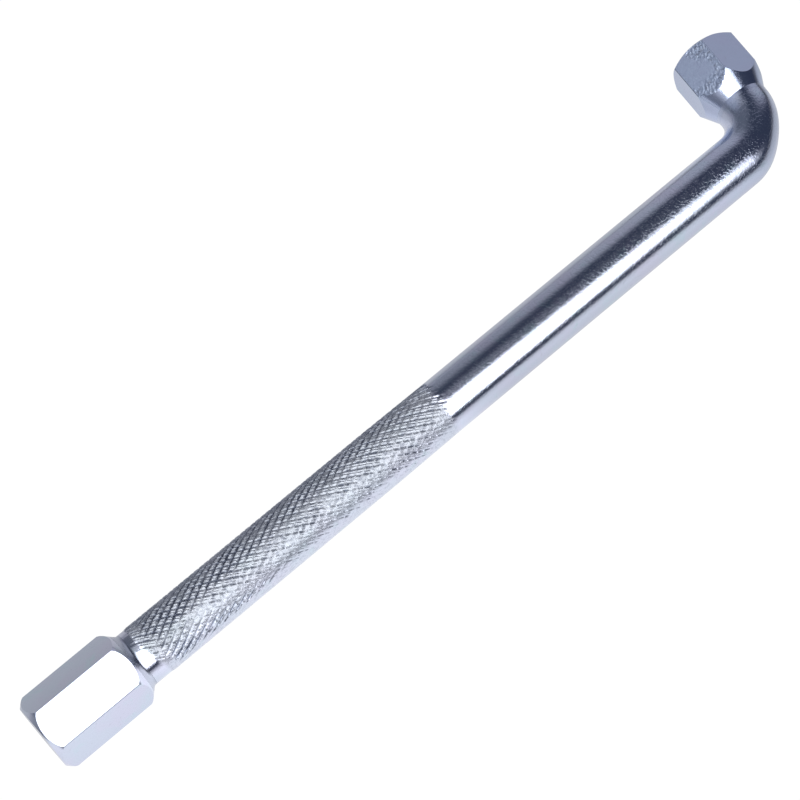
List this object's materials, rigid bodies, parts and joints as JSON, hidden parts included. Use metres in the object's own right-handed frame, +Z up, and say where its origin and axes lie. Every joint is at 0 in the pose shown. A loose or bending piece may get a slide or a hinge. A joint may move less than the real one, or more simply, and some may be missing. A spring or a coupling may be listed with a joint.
{
  "type": "drain plug hex key",
  "caption": "L-shaped hex key for drain plugs: knurled round bar with a hex head on the straight end and another on the short bent leg.",
  "frame": {"origin": "on the table under the middle of the key's bounding box", "axes": "+X along the bar from the straight head to the bend, +Y across the bar towards the side of the bent leg, +Z up from the table"},
  "size_m": [0.2378, 0.0396, 0.0194],
  "materials": {
    "bar_plate": "bright zinc plate, knurled grip",
    "straight_head_plate": "bright zinc plate on drawn hex bar",
    "bent_head_plate": "bright zinc plate, pitted on the flats",
    "straight_filler_plate": "zinc plate over braze filler",
    "bent_filler_plate": "zinc plate over braze filler"
  },
  "bodies": {
    "root": {"shank_bar": "bar_plate", "straight_hex_head": "straight_head_plate", "bent_hex_head": "bent_head_plate", "straight_braze_ring": "straight_filler_plate", "bent_braze_ring": "bent_filler_plate"}
  },
  "joints": []
}
